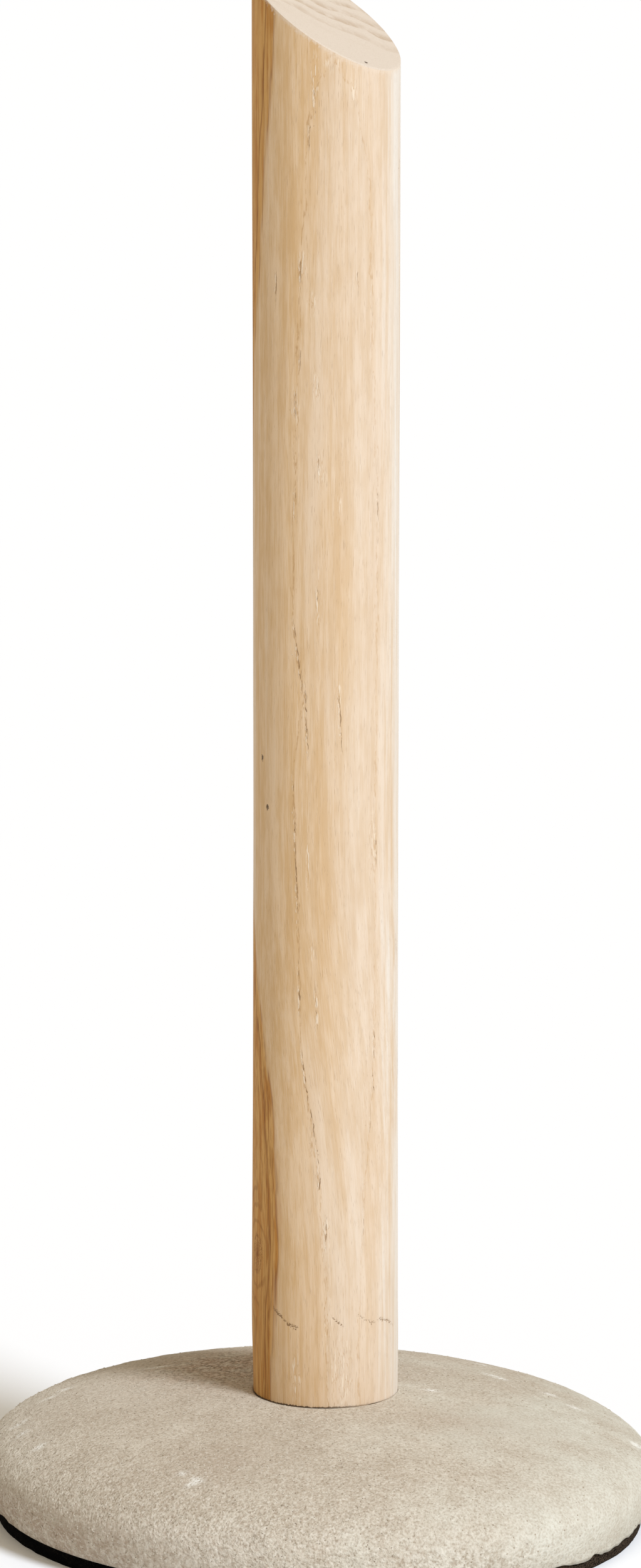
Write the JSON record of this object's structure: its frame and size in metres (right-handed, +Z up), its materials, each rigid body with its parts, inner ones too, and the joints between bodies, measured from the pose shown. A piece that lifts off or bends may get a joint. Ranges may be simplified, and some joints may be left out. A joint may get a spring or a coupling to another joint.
{
  "type": "paper towel holder",
  "caption": "Free-standing paper towel holder: a round wooden pole with a slant-cut top, bolted upright on a heavy domed oval concrete base with a rubber foot.",
  "frame": {"origin": "on the pole's axis, in the plane of the table", "axes": "+Z up along the pole; +X to the right and +Y away from a viewer who faces the falling side of the slanted top, turned a little to its left"},
  "size_m": [0.14, 0.14, 0.3238],
  "materials": {
    "pole_wood": "matte",
    "base_concrete": "matte",
    "foot_rubber": "matte",
    "zinc_steel": "satin"
  },
  "bodies": {
    "root": {"pole": "pole_wood", "base": "base_concrete", "rubber_foot": "foot_rubber", "threaded_insert": "zinc_steel", "fixing_bolt": "zinc_steel", "penny_washer": "zinc_steel", "spring_washer": "zinc_steel"}
  },
  "joints": []
}
